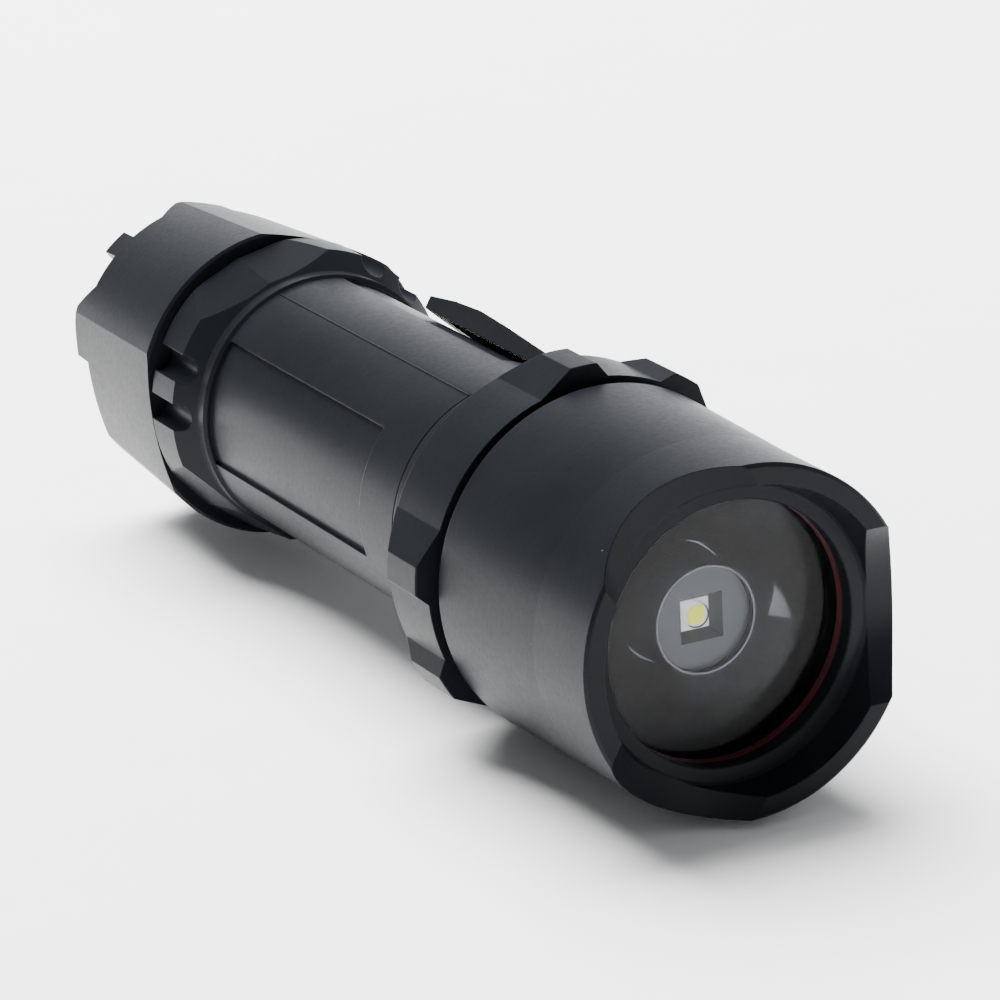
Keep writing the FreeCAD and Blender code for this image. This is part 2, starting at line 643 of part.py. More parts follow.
def reflector(doc):
    """Smooth paraboloid with a flange and a raised collar round the light source."""
    body = turned(doc, "reflector", [
        ("bowl_mouth", "bowl_front"), ("bowl_foot", "bowl_foot_station"),
        ("moat_outer", "moat_floor"), ("chimney_foot", "moat_floor"),
        ("chimney_rim", "chimney_front"), ("chimney_bore", "chimney_front"),
        ("chimney_bore", "bowl_base"), ("bowl_base_radius", "bowl_base"),
        ("bowl_back_radius", "bowl_back_station"), ("bowl_root", "bowl_flange"),
        ("lens_radius", "bowl_flange"), ("lens_radius", "bowl_front")],
        parabola=(0, "bowl_vertex", "bowl_focus"))
    return settle(body, "reflector")


def centring_ring(doc):
    """Disc that centres the reflector on the LED, with a square well."""
    body = turned(doc, "centring_ring", [
        ("0", "ring_front"), ("ring_radius", "ring_front"),
        ("ring_radius", "ring_back"), ("0", "ring_back")])
    widths = ("well_mouth", "well_foot")
    stations = ("ring_front", "ring_front + well_depth")
    sketches = []
    for width, station in zip(widths, stations):
        sketch = new_sketch(body, "XZ_Plane", "well_" + width)
        sketch.AttachmentOffset = FreeCAD.Placement(V(0, 0, -worth(station)), FreeCAD.Rotation())
        sketch.setExpression("AttachmentOffset.Base.z", "-" + linked(station))
        half = worth(width) / 2.0
        text = linked(width) + " / 2"
        corners = []
        for x, z in ((-1, -1), (1, -1), (1, 1), (-1, 1)):
            corners.append(((x * half, z * half), ("%d * " % x + text, "%d * " % z + text)))
        draw(sketch, corners)
        sketches.append(sketch)
    loft = body.newObject("PartDesign::SubtractiveLoft", "well_slope")
    loft.Profile = (sketches[0], [""])
    loft.Sections = [(sketches[1], [""])]
    loft.Ruled = True
    doc.recompute()
    cut_away(doc, body, "well_shaft", sketches[1], "2")
    return settle(body, "centring_ring")


def led_parts(doc):
    """Ceramic package, phosphor die and clear dome of the LED."""
    package = block(doc, "led_package_block", "led_width", "led_back - led_front", "led_width",
                    "0", "led_front", "0")
    settle(group(doc, "led_package", [package]), "led_package")
    body = doc.addObject("PartDesign::Body", "led_die")
    sketch = new_sketch(body, "XZ_Plane", "led_die_outline")
    sketch.AttachmentOffset = FreeCAD.Placement(V(0, 0, -worth("die_front")), FreeCAD.Rotation())
    sketch.setExpression("AttachmentOffset.Base.z", "-" + linked("die_front"))
    half, clip = worth("die_width") / 2.0, worth("die_corner")
    wide, short = "dims.die_width / 2", "(dims.die_width / 2 - dims.die_corner)"
    corners = []
    for x, z, first in ((1, -1, False), (1, 1, True), (-1, 1, False), (-1, -1, True)):
        long_x = ((x * half, z * (half - clip)), ("%d * " % x + wide, "%d * " % z + short))
        long_z = ((x * (half - clip), z * half), ("%d * " % x + short, "%d * " % z + wide))
        corners += [long_x, long_z] if first else [long_z, long_x]
    draw(sketch, corners)
    pad = body.newObject("PartDesign::Pad", "led_die_pad")
    pad.Profile = (sketch, [""])
    pad.Reversed = True
    pad.setExpression("Length", "dims.led_front - dims.die_front - 0.01")
    settle(body, "led_die")
    ball = doc.addObject("Part::Sphere", "led_dome_ball")
    bind(ball, Radius="dome_radius")
    ball.Placement.Base = V(0, worth("led_front"), 0)
    ball.setExpression("Placement.Base.y", linked("led_front"))
    room = block(doc, "led_dome_room", "die_width + 0.04", "2", "die_width + 0.04",
                 "0", "die_front - 0.01", "0")
    behind = block(doc, "led_dome_behind", "4", "3", "4", "0", "led_front - 0.01", "0")
    shape = doc.addObject("Part::MultiFuse", "led_dome_tools")
    shape.Shapes = [room, behind]
    dome = doc.addObject("Part::Cut", "led_dome")
    dome.Base = ball
    dome.Tool = shape
    settle(dome, "led_dome")


def led_board(doc):
    """Round metal-core board under the LED."""
    body = turned(doc, "led_board", [
        ("0", "board_front"), ("board_radius", "board_front"),
        ("board_radius", "board_back"), ("0", "board_back")])
    return settle(body, "led_board")


def heat_sink(doc):
    """Aluminium pill: post under the LED, clamping flange, cup for the driver."""
    body = turned(doc, "heat_sink_pill", [
        ("0", "post_front"), ("post_radius", "post_front"), ("post_radius", "sink_flange_front"),
        ("sink_flange", "sink_flange_front"), ("sink_flange", "sink_flange_back"),
        ("sink_cup", "sink_flange_back"), ("sink_cup", "sink_end"),
        ("sink_seat_radius", "sink_end"), ("sink_seat_radius", "sink_seat"),
        ("sink_bore", "sink_seat"), ("sink_bore", "sink_floor"), ("0", "sink_floor")])
    holes = [rod(doc, "wire_hole_%d" % side, "wire_hole", "12",
                 ("wire_offset" if side > 0 else "0 - wire_offset"), "post_front - 2", "0")
             for side in (1, -1)]
    both = doc.addObject("Part::MultiFuse", "wire_holes")
    both.Shapes = holes
    item = doc.addObject("Part::Cut", "heat_sink")
    item.Base = body
    item.Tool = both
    return settle(item, "heat_sink")


def lead_wires(doc):
    """Two insulated leads from the LED board to the driver."""
    wires = [rod(doc, "lead_%d" % side, "wire_radius", "driver_front - board_back - 0.1",
                 ("wire_offset" if side > 0 else "0 - wire_offset"), "board_back + 0.05", "0")
             for side in (1, -1)]
    return settle(group(doc, "lead_wires", wires), "lead_wires")


def driver(doc):
    """Driver board, its components, and the ring that holds it in the pill."""
    board = turned(doc, "driver_board", [
        ("0", "driver_front"), ("driver_radius", "driver_front"),
        ("driver_radius", "driver_back"), ("0", "driver_back")])
    settle(board, "driver_board")
    top = "driver_front - 0.02"
    pieces = [rod(doc, "inductor", "coil_radius", "coil_height", "0", top + " - coil_height", "coil_offset")]
    pieces.append(block(doc, "control_chip", "chip_long", "chip_tall", "chip_wide",
                        "0", top + " - chip_tall", "0 - chip_offset"))
    for number, (x, z) in enumerate((("cap_offset", "2"), ("cap_offset", "0 - 1"),
                                     ("0 - cap_offset", "2"), ("0 - cap_offset", "0 - 1"))):
        station = top + " - 1.4"
        pieces.append(block(doc, "capacitor_%d" % number, "cap_size", "1.4", "cap_size", x, station, z))
    settle(group(doc, "driver_parts", pieces), "driver_parts")
    ring = turned(doc, "driver_ring", [
        ("clamp_inner", "clamp_front"), ("clamp_outer", "clamp_front"),
        ("clamp_outer", "clamp_back"), ("clamp_inner", "clamp_back")])
    settle(ring, "driver_ring")


def barrel(doc):
    """Polymer barrel: threaded nose, lobed front collar, neck, panelled grip, slotted rear collar."""
    body = turned(doc, "barrel_body", [
        ("nose_bore", "nose_front"), ("nose_radius - thread_chamfer", "nose_front"),
        ("nose_radius", "nose_front + thread_chamfer"), ("nose_radius", "nose_groove_front"),
        ("nose_groove_floor", "nose_groove_front"), ("nose_groove_floor", "nose_groove_back"),
        ("nose_radius", "nose_groove_back"), ("nose_radius", "collar_front"),
        ("collar_lobe - collar_edge", "collar_front"), ("collar_lobe", "collar_front + collar_edge"),
        ("collar_lobe", "collar_crest_end"), ("collar_back_radius", "collar_back"),
        ("neck_radius", "collar_back"), ("neck_radius", "neck_end"),
        ("grip_radius", "neck_end + neck_step"), ("grip_radius", "grip_end"),
        ("bead_radius", "bead_front"), ("bead_radius", "bead_back"),
        ("rear_collar", "rear_collar_front"),
        ("rear_collar", "rear_collar_back - rear_collar_edge"),
        ("rear_collar - rear_collar_edge", "rear_collar_back"), ("tail_radius", "rear_collar_back"),
        ("tail_radius", "tail_groove_front"), ("tail_groove_floor", "tail_groove_front"),
        ("tail_groove_floor", "tail_groove_back"), ("tail_radius", "tail_groove_back"),
        ("tail_radius", "barrel_end - thread_chamfer"), ("tail_radius - thread_chamfer", "barrel_end"),
        ("tube_bore", "barrel_end"), ("tube_bore", "nose_bore_end"), ("nose_bore", "nose_bore_end")])
    low = "collar_angle + 60"
    sketch = station_sketch(body, "low_arc_sketch", "collar_front - 0.5", [
        ("ramp_top", low + " - ramp_half"), ("low_radius", low + " - low_half"),
        ("low_radius", low + " + low_half"), ("ramp_top", low + " + ramp_half")],
        {1: ("low_radius", 1), 3: ("ramp_top", -1)})
    dips = cut_away(doc, body, "low_arc", sketch, "collar_back - collar_front + 0.6")
    repeat(doc, body, "low_arcs", [dips], 3)
    sketch = station_sketch(body, "notch_sketch", "collar_front - 0.5", [
        ("notch_top", "collar_angle - notch_top_half"), ("notch_floor", "collar_angle - notch_half"),
        ("notch_floor", "collar_angle + notch_half"), ("notch_top", "collar_angle + notch_top_half")],
        {1: ("notch_floor", 1), 3: ("notch_top", -1)})
    notch = cut_away(doc, body, "notch", sketch, "collar_back - collar_front + 0.6")
    repeat(doc, body, "notches", [notch], 3)
    sketch = station_sketch(body, "seam_sketch", "seam_front", [
        ("seam_foot", "seam_angle - seam_half"), ("seam_foot", "seam_angle + seam_half"),
        ("seam_crest", "seam_angle + seam_half"), ("seam_crest", "seam_angle - seam_half")])
    build_up(doc, body, "seam", sketch, "seam_length", reversed_way=True)
    sketch = station_sketch(body, "panel_sketch", "panel_front", [
        ("panel_floor", "panel_angle - panel_half"), ("panel_floor", "panel_angle + panel_half"),
        ("panel_clear", "panel_angle + panel_half"), ("panel_clear", "panel_angle - panel_half")],
        {0: ("panel_floor", 1), 2: ("panel_clear", -1)})
    panel = cut_away(doc, body, "panel", sketch, "panel_length")
    repeat(doc, body, "panels", [panel], 3)
    flats = []
    for name, angle in (("flat_a", "flat_angle - flat_lean - 90"), ("flat_b", "flat_angle + flat_lean - 90")):
        sketch = radial_sketch(body, name + "_sketch", angle, "0 - flat_reach", [
            ("bead_back", "flat_front_apothem"), ("rear_collar_back", "flat_back_apothem"),
            ("rear_collar_back", "flat_clear"), ("bead_back", "flat_clear")])
        flats.append(cut_away(doc, body, name, sketch, "flat_reach + flat_reach", outwards=True))
    repeat(doc, body, "flats", flats, 3)
    front = thread_cutter(doc, "nose_thread_groove", "nose_radius", "nose_thread_start", "nose_thread_length")
    rear = thread_cutter(doc, "tail_thread_groove", "tail_radius", "tail_thread_start", "tail_thread_length")
    first = doc.addObject("Part::Cut", "barrel_nose_threaded")
    first.Base = body
    first.Tool = front
    second = doc.addObject("Part::Cut", "barrel_threaded")
    second.Base = first
    second.Tool = rear
    item = doc.addObject("Part::Cut", "barrel")
    item.Base = second
    item.Tool = slot_cutter(doc)
    return settle(item, "barrel")


def slot_cutter(doc):
    """Round-bottomed slots of the rear collar, two to each flat: a rod with a ball at its front."""
    pieces = []
    for number in range(6):
        angle = ("slot_low", "slot_high")[number % 2] + " + %d" % (120 * (number // 2))
        spot, text = polar_corner("slot_centre", angle)
        stem = doc.addObject("Part::Cylinder", "slot_rod_%d" % number)
        bind(stem, Radius="slot_radius", Height="slot_length")
        ball = doc.addObject("Part::Sphere", "slot_ball_%d" % number)
        bind(ball, Radius="slot_radius")
        for piece in (stem, ball):
            along_axis(piece, repr(spot[0]), "slot_front", repr(spot[1]))
            piece.setExpression("Placement.Base.x", text[0])
            piece.setExpression("Placement.Base.z", text[1])
            pieces.append(piece)
    tool = doc.addObject("Part::MultiFuse", "slots")
    tool.Shapes = pieces
    return tool


def liner_tube(doc):
    """Aluminium tube that lines the barrel and carries the return current."""
    body = turned(doc, "liner_tube", [
        ("liner_inner", "liner_front"), ("liner_outer", "liner_front"),
        ("liner_outer", "liner_back"), ("liner_inner", "liner_back")])
    return settle(body, "liner_tube")


def cell(doc):
    """One 21700 lithium cell: can, sleeve and positive terminal."""
    can = turned(doc, "cell_can", [
        ("0", "can_front"), ("can_radius - can_edge", "can_front"), ("can_radius", "can_front + can_edge"),
        ("can_radius", "can_back - can_edge"), ("can_radius - can_edge", "can_back"), ("0", "can_back")])
    settle(can, "cell_can")
    wrap = turned(doc, "cell_wrap", [
        ("wrap_inner", "wrap_front"), ("wrap_outer", "wrap_front"),
        ("wrap_outer", "wrap_back"), ("wrap_inner", "wrap_back")])
    settle(wrap, "cell_wrap")
    top = turned(doc, "cell_terminal", [
        ("0", "terminal_front"), ("terminal_radius", "terminal_front"),
        ("terminal_radius", "terminal_step"), ("terminal_skirt", "terminal_step"),
        ("terminal_skirt", "can_front - 0.02"), ("0", "can_front - 0.02")])
    settle(top, "cell_terminal")


def tail_cap(doc):
    """Tail cap: tapered, three flattened faces, crown of wings and teeth round the button."""
    body = turned(doc, "tail_cap_body", [
        ("cap_bore + 0.4", "cap_front"), ("cap_front_radius - cap_edge", "cap_front"),
        ("cap_front_radius", "cap_front + cap_edge"), ("cap_back_radius", "cap_back - cap_edge"),
        ("cap_back_radius - cap_edge", "cap_back"), ("crown_inner", "cap_back"),
        ("crown_inner", "rim_level"), ("button_hole", "rim_level"), ("button_hole", "cap_wall"),
        ("button_well", "cap_wall"), ("button_well", "switch_seat"), ("switch_bore", "switch_seat"),
        ("switch_bore", "cap_thread_end"), ("cap_bore", "cap_thread_end"), ("cap_bore", "cap_front + 0.4")])
    sketch = station_sketch(body, "opening_sketch", "rim_level", [
        ("crown_core", "opening_low"), ("crown_core", "opening_high"),
        ("crown_clear", "opening_high"), ("crown_clear", "opening_middle"),
        ("crown_clear", "opening_low")])
    opening = cut_away(doc, body, "opening", sketch, "crown_over")
    repeat(doc, body, "openings", [opening], 2)
    gaps = []
    for name, sign in (("gap_a", "0 - "), ("gap_b", "0 + ")):
        sketch = radial_sketch(body, name + "_sketch", "tooth_angle", "crown_core", [
            ("rim_level", sign + "tooth_half"), ("tips_over", sign + "tooth_half"),
            ("tips_over", sign + "wing_over"), ("rim_level", sign + "wing_foot")])
        gaps.append(cut_away(doc, body, name, sketch, "crown_clear - crown_core", outwards=True))
    repeat(doc, body, "gaps", gaps, 2)
    cones = []
    for number in range(3):
        angle = "face_angle + %d" % (120 * number)
        turn = math.radians(worth(angle))
        cone = doc.addObject("Part::Cone", "face_cone_%d" % number)
        bind(cone, Radius1="face_radius", Radius2="face_back_radius", Height="cap_back - cap_front")
        away = -worth("face_offset")
        spot = V(away * math.cos(turn), worth("cap_front"), away * math.sin(turn))
        cone.Placement = FreeCAD.Placement(spot, FreeCAD.Rotation(V(1, 0, 0), -90))
        cone.setExpression("Placement.Base.x", "-dims.face_offset * cos" + linked(angle))
        cone.setExpression("Placement.Base.y", linked("cap_front"))
        cone.setExpression("Placement.Base.z", "-dims.face_offset * sin" + linked(angle))
        cones.append(cone)
    item = doc.addObject("Part::MultiCommon", "tail_cap")
    item.Shapes = [body] + cones
    return settle(item, "tail_cap")


def switch_parts(doc):
    """Ring, board and housing of the tail switch."""
    ring = turned(doc, "switch_ring", [
        ("switch_ring_inner", "switch_ring_front"), ("switch_ring_outer", "switch_ring_front"),
        ("switch_ring_outer", "switch_ring_back"), ("switch_ring_inner", "switch_ring_back")])
    settle(ring, "switch_ring")
    board = turned(doc, "switch_board", [
        ("0", "switch_board_front"), ("switch_board_radius", "switch_board_front"),
        ("switch_board_radius", "switch_board_back"), ("0", "switch_board_back")])
    settle(board, "switch_board")
    housing = turned(doc, "switch_body", [
        ("0", "switch_front"), ("switch_radius", "switch_front"), ("switch_radius", "switch_back"),
        ("switch_hole", "switch_back"), ("switch_hole", "switch_floor"), ("0", "switch_floor")])
    settle(housing, "switch_body")


def button_parts(doc):
    """Rubber button and the stem that works the switch."""
    stem = turned(doc, "button_stem", [
        ("0", "stem_front"), ("stem_radius", "stem_front"), ("stem_radius", "stem_head_front"),
        ("stem_head", "stem_head_front"), ("stem_head", "stem_back"), ("0", "stem_back")])
    settle(stem, "button_stem")
    rubber = turned(doc, "button_boot", [
        ("button_inner", "button_flange_front"), ("button_flange", "button_flange_front"),
        ("button_flange", "button_flange_back"), ("button_radius", "button_flange_back"),
        ("button_radius", "button_shoulder"), ("button_dome_edge", "button_dome_station"),
        ("0", "button_top"), ("0", "button_roof"), ("button_inner", "button_roof")],
        {5: ("button_dome_curve", 1)})
    settle(rubber, "button_boot")


def clip_band(doc):
    """Spring-steel band that snaps round the neck, with the root of the arm."""
    body = turned(doc, "clip_band", [
        ("clip_inner", "clip_front"), ("clip_outer", "clip_front"),
        ("clip_outer", "clip_back"), ("clip_inner", "clip_back")])
    sketch = station_sketch(body, "band_gap_sketch", "clip_front - 0.5", [
        ("gap_core", "gap_low"), ("gap_clear", "gap_low"), ("gap_clear", "gap_middle"),
        ("gap_clear", "gap_high"), ("gap_core", "gap_high")])
    cut_away(doc, body, "band_gap", sketch, "clip_back - clip_front + 1")
    sketch = radial_sketch(body, "root_sketch", "clip_angle", "root_seat", [
        ("clip_front", "0 - clip_half"), ("clip_back", "0 - clip_half"),
        ("clip_back", "clip_half"), ("clip_front", "clip_half")])
    build_up(doc, body, "root", sketch, "root_height")
    return settle(body, "clip_band")


def clip_arm(doc):
    """Sprung arm of the clip: a channel with its skirts towards the grip and a solid tip."""
    body = doc.addObject("PartDesign::Body", "clip_arm")
    sketch = new_sketch(body, "XY_Plane", "clip_arm_outline")
    draw(sketch, [flat_corner(*corner) for corner in (
        ("arm_outer", "arm_front"), ("arm_knee_outer", "arm_knee"), ("arm_middle_outer", "arm_middle"),
        ("arm_high_outer", "arm_high"), ("arm_crown_outer", "arm_crown"), ("arm_tip_outer", "arm_tip"),
        ("skirt_foot", "arm_tip - arm_tip_slope"), ("skirt_foot", "skirt_front"),
        ("arm_outer - arm_wall", "arm_front + arm_tip_slope"))])
    pad = body.newObject("PartDesign::Pad", "clip_arm_width")
    pad.Profile = (sketch, [""])
    pad.Midplane = True
    pad.Length = worth("clip_width")
    pad.setExpression("Length", linked("clip_width"))
    sketch = new_sketch(body, "XY_Plane", "channel_outline")
    draw(sketch, [flat_corner(*corner) for corner in (
        ("arm_outer - arm_wall", "arm_front - arm_wall"), ("arm_knee_outer - arm_wall", "arm_knee"),
        ("arm_middle_outer - arm_wall", "arm_middle"), ("arm_high_outer - arm_wall", "arm_high"),
        ("arm_crown_outer - arm_wall", "channel_end"), ("channel_below", "channel_end"),
        ("channel_below", "arm_front - arm_wall"))])
    pocket = body.newObject("PartDesign::Pocket", "channel")
    pocket.Profile = (sketch, [""])
    pocket.Midplane = True
    pocket.Length = worth("channel_width")
    pocket.setExpression("Length", linked("channel_width"))
    doc.recompute()
    return settle(body, "clip_arm", FreeCAD.Rotation(V(0, 1, 0), -worth("clip_angle")))


def build(doc):
    """Every piece, in order from the front of the light to its tail."""
    head_shell(doc)
    lens_gasket(doc)
    lens(doc)
    reflector(doc)
    centring_ring(doc)
    led_parts(doc)
    led_board(doc)
    heat_sink(doc)
    lead_wires(doc)
    driver(doc)
    seal(doc, "head_oring", "nose_seal_radius", "nose_seal_station")
    barrel(doc)
    liner_tube(doc)
    cell(doc)
    spring(doc, "driver_spring", "front_spring_radius", "front_spring_length",
           "driver_back + wire_section + 0.02", True)
    spring(doc, "tail_spring", "rear_spring_radius", "rear_spring_length",
           "switch_board_front - wire_section - 0.02", False)
    seal(doc, "tail_oring", "tail_seal_radius", "tail_seal_station")
    tail_cap(doc)
    switch_parts(doc)
    button_parts(doc)
    clip_band(doc)
    clip_arm(doc)


NODES = [
    "head_shell", "lens_gasket", "lens", "reflector", "centring_ring", "led_package", "led_die",
    "led_dome", "led_board", "heat_sink", "lead_wires", "driver_board", "driver_parts", "driver_ring",
    "driver_spring", "head_oring", "barrel", "liner_tube", "cell_can", "cell_wrap", "cell_terminal",
    "tail_oring", "tail_cap", "switch_ring", "switch_board", "switch_body", "tail_spring",
    "button_stem", "button_boot", "clip_band", "clip_arm"]


def main():
    os.makedirs("parts", exist_ok=True)
    doc = FreeCAD.newDocument("flashlight")
    open_sheet(doc)
    doc.recompute()
    build(doc)
    doc.recompute()
    for item in doc.Objects:
        if "Invalid" in item.State or "Error" in item.State:
            raise RuntimeError("%s is %s" % (item.Name, item.State))
    for name in NODES:
        shape = doc.getObject(name).Shape
        if shape.isNull() or not shape.isValid():
            raise RuntimeError(name + " has no valid shape")
        shape.exportStep("parts/%s.step" % name)
        box = shape.BoundBox
        print("%-15s solids %d volume %9.1f  x %.2f..%.2f  y %.2f..%.2f  z %.2f..%.2f" % (
            name, len(shape.Solids), shape.Volume,
            box.XMin, box.XMax, box.YMin, box.YMax, box.ZMin, box.ZMax))


main()
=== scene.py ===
import json
import math

import bpy
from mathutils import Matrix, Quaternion, Vector


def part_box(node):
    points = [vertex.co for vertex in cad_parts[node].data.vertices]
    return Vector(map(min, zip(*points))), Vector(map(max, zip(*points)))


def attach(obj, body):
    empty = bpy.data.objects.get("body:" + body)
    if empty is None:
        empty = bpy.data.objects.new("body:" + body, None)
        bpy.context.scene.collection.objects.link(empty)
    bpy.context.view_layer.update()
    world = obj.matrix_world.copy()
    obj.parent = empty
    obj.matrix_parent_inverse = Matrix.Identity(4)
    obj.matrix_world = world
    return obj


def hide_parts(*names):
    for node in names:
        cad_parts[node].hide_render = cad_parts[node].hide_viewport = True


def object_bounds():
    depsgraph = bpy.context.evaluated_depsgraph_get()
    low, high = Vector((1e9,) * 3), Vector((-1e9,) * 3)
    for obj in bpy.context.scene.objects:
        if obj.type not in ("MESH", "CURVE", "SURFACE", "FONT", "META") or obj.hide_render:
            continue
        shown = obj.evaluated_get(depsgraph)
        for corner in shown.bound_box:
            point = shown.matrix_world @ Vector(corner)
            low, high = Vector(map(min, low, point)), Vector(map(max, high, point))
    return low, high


# The looks of a tactical flashlight.  Metres: the beam leaves towards -Y, the tail is at +Y.
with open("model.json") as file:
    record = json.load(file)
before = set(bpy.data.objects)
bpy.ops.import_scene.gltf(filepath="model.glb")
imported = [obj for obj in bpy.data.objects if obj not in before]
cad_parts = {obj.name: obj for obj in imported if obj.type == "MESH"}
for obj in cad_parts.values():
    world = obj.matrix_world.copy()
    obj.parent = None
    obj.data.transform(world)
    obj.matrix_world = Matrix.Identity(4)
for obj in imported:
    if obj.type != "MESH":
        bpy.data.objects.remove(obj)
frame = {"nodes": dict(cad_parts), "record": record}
cad_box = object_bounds()
nodes = frame["nodes"]
BOXES = {name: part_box(name) for name in nodes}


# ---------------------------------------------------------------- shader helpers
def new_material(name, **sockets):
    """A material with a Principled shader whose sockets are set by name."""
    mat = bpy.data.materials.new(name)
    mat.use_nodes = True
    shader = mat.node_tree.nodes["Principled BSDF"]
    for key, value in sockets.items():
        shader.inputs[key.replace("_", " ")].default_value = value
    return mat, shader


def add(mat, kind, inputs=None, **settings):
    """A node with its settings and its sockets' values."""
    node = mat.node_tree.nodes.new(kind)
    for key, value in settings.items():
        setattr(node, key, value)
    for key, value in (inputs or {}).items():
        if isinstance(value, bpy.types.NodeSocket):
            mat.node_tree.links.new(value, node.inputs[key])
        else:
            node.inputs[key].default_value = value
    return node


def link(mat, source, target):
    mat.node_tree.links.new(source, target)


def object_place(mat):
    """A place on the object, in metres."""
    return add(mat, "ShaderNodeTexCoord").outputs["Object"]


def noise(mat, place, scale, detail=4.0, roughness=0.55):
    """Noise from 0 to 1, with its scale in repeats to a metre."""
    return add(mat, "ShaderNodeTexNoise", {
        "Vector": place, "Scale": scale, "Detail": detail, "Roughness": roughness}).outputs["Fac"]


NOISE_LOW, NOISE_HIGH = 0.3, 0.7          # most of a noise texture lies between these


def spread(mat, source, low, high):
    """Stretch the usual range of a noise to low..high."""
    return add(mat, "ShaderNodeMapRange", {
        "Value": source, "From Min": NOISE_LOW, "From Max": NOISE_HIGH,
        "To Min": low, "To Max": high}).outputs["Result"]


def tint(mat, factor, first, second):
    """Mix two colours by a factor."""
    node = add(mat, "ShaderNodeMix", data_type="RGBA")
    link(mat, factor, node.inputs["Factor"])
    for socket, colour in ((node.inputs["A"], first), (node.inputs["B"], second)):
        if isinstance(colour, bpy.types.NodeSocket):
            link(mat, colour, socket)
        else:
            socket.default_value = (*colour, 1)
    return node.outputs["Result"]


def maths(mat, operation, first, second):
    """A math node on two values or sockets."""
    node = add(mat, "ShaderNodeMath", operation=operation)
    for socket, value in ((node.inputs[0], first), (node.inputs[1], second)):
        if isinstance(value, bpy.types.NodeSocket):
            link(mat, value, socket)
        else:
            socket.default_value = value
    return node.outputs[0]


def specks(mat, place, cells, size, share):
    """1 on small round specks of dust: one to a cell, in a share of the cells."""
    cell = add(mat, "ShaderNodeTexVoronoi", {"Vector": place, "Scale": cells, "Randomness": 1.0})
    near = maths(mat, "LESS_THAN", cell.outputs["Distance"], size)
    chosen = maths(mat, "LESS_THAN", add(mat, "ShaderNodeSeparateColor", {
        "Color": cell.outputs["Color"]}).outputs["Red"], share)
    return maths(mat, "MULTIPLY", near, chosen)


def relief(mat, shader, height, distance, strength, edge=0.0):
    """Bump from a height, over edges that are rounded by the radius edge."""
    bump = add(mat, "ShaderNodeBump", {
        "Height": height, "Distance": distance, "Strength": strength})
    if edge:
        rounded = add(mat, "ShaderNodeBevel", {"Radius": edge}, samples=4)
        link(mat, rounded.outputs["Normal"], bump.inputs["Normal"])
    link(mat, bump.outputs["Normal"], shader.inputs["Normal"])


# ---------------------------------------------------------------- materials
DUST = (0.08, 0.08, 0.08)


def polymer(name, dark, light, rough, edge=0.00022):
    """Moulded glass-filled polymer: mottled, finely grained, satin, with a little dust."""
    mat, shader = new_material(name, Metallic=0.0, IOR=1.17)
    place = object_place(mat)
    cloud = noise(mat, place, 70.0, 5.0, 0.6)
    grain = noise(mat, place, 5200.0, 3.0, 0.6)
    pores = noise(mat, place, 1500.0, 4.0, 0.7)
    colour = tint(mat, spread(mat, cloud, 0.0, 1.0), dark, light)
    colour = tint(mat, spread(mat, grain, 0.0, 0.30), colour, tuple(1.5 * part for part in light))
    colour = tint(mat, specks(mat, place, 190.0, 0.020, 0.35), colour, DUST)
    link(mat, colour, shader.inputs["Base Color"])
    rub = spread(mat, noise(mat, place, 26.0, 3.0), -0.04, 0.04)
    gloss = maths(mat, "ADD", spread(mat, pores, rough - 0.05, rough + 0.05), rub)
    link(mat, gloss, shader.inputs["Roughness"])
    height = maths(mat, "ADD", grain, maths(mat, "MULTIPLY", pores, 1.4))
    relief(mat, shader, height, 0.000016, 0.55, edge)
    return mat


def solid(name, colour, rough, metal=0.0, grain=3000.0, depth=0.000006, spread_by=0.12, **more):
    """A plain material with grain, a slight change of tone and uneven gloss."""
    mat, shader = new_material(name, Metallic=metal, **more)
    place = object_place(mat)
    cloud = noise(mat, place, 160.0, 4.0)
    fine = noise(mat, place, grain, 4.0, 0.6)
    darker = tuple(part * (1.0 - spread_by) for part in colour)
    lighter = tuple(min(1.0, part * (1.0 + spread_by)) for part in colour)
    mixed = maths(mat, "ADD", maths(mat, "MULTIPLY", cloud, 0.6), maths(mat, "MULTIPLY", fine, 0.4))
    link(mat, tint(mat, spread(mat, mixed, 0.0, 1.0), darker, lighter), shader.inputs["Base Color"])
    link(mat, spread(mat, fine, rough * 0.85, rough * 1.15), shader.inputs["Roughness"])
    relief(mat, shader, fine, depth, 0.5)
    return mat


def turned_metal(name, colour, rough):
    """Lathe-turned metal: fine rings along the axis over an uneven gloss."""
    mat, shader = new_material(name, Metallic=1.0)
    place = object_place(mat)
    stretched = add(mat, "ShaderNodeMapping", {
        "Vector": place, "Scale": (0.05, 1.0, 0.05)}).outputs["Vector"]
    rings = noise(mat, stretched, 5200.0, 3.0, 0.7)
    cloud = noise(mat, place, 120.0, 4.0)
    darker = tuple(part * 0.86 for part in colour)
    link(mat, tint(mat, spread(mat, cloud, 0.0, 1.0), darker, colour), shader.inputs["Base Color"])
    link(mat, spread(mat, rings, rough * 0.75, rough * 1.3), shader.inputs["Roughness"])
    relief(mat, shader, rings, 0.000008, 0.5)
    return mat


